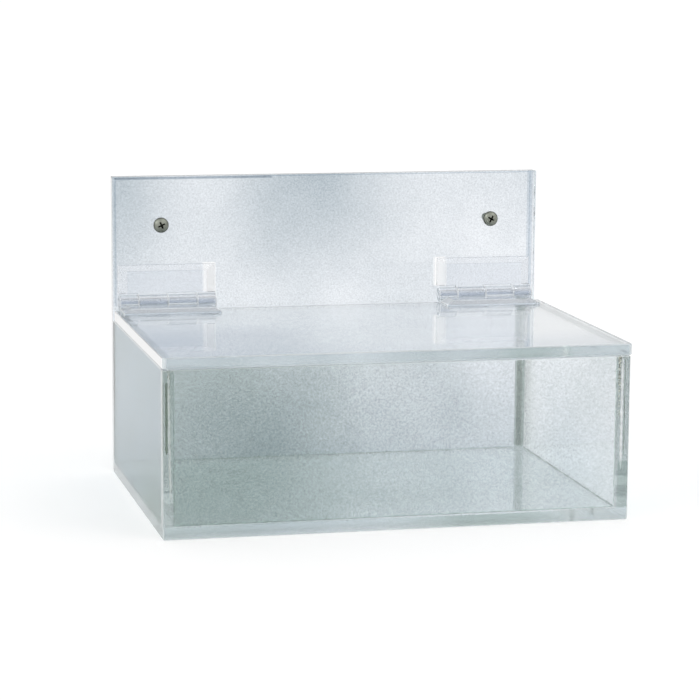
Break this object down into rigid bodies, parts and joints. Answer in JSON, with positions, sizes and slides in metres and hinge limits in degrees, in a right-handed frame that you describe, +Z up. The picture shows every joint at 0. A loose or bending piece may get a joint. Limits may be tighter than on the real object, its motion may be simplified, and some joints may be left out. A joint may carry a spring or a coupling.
{
  "type": "safety glasses holder",
  "caption": "Clear acrylic wall box for safety glasses, with a tall back panel for screws and a flat lid on moulded clear hinges.",
  "frame": {"origin": "middle of the underside of the box", "axes": "+X to the right seen from the front, the front faces -Y, +Z up"},
  "size_m": [0.2296, 0.1753, 0.1556],
  "materials": {
    "acrylic_sheet": "clear, polished",
    "moulded_acrylic": "clear, moulded",
    "screw_steel": "dull plated"
  },
  "bodies": {
    "box": {"back_panel": "acrylic_sheet", "bottom_panel": "acrylic_sheet", "left_side_panel": "acrylic_sheet", "right_side_panel": "acrylic_sheet", "front_panel": "acrylic_sheet", "left_hinge_wall_leaf": "moulded_acrylic", "left_hinge_pin": "moulded_acrylic", "right_hinge_wall_leaf": "moulded_acrylic", "right_hinge_pin": "moulded_acrylic", "left_mounting_screw": "screw_steel", "right_mounting_screw": "screw_steel"},
    "lid": {"lid_panel": "acrylic_sheet", "left_hinge_lid_leaf": "moulded_acrylic", "right_hinge_lid_leaf": "moulded_acrylic"}
  },
  "joints": [
    {"name": "lid_hinge", "type": "hinge", "parent": "box", "child": "lid", "pos_m": [0, 0.07295, 0.0906], "axis": [-1, 0, 0], "range_deg": [0, 96]}
  ]
}
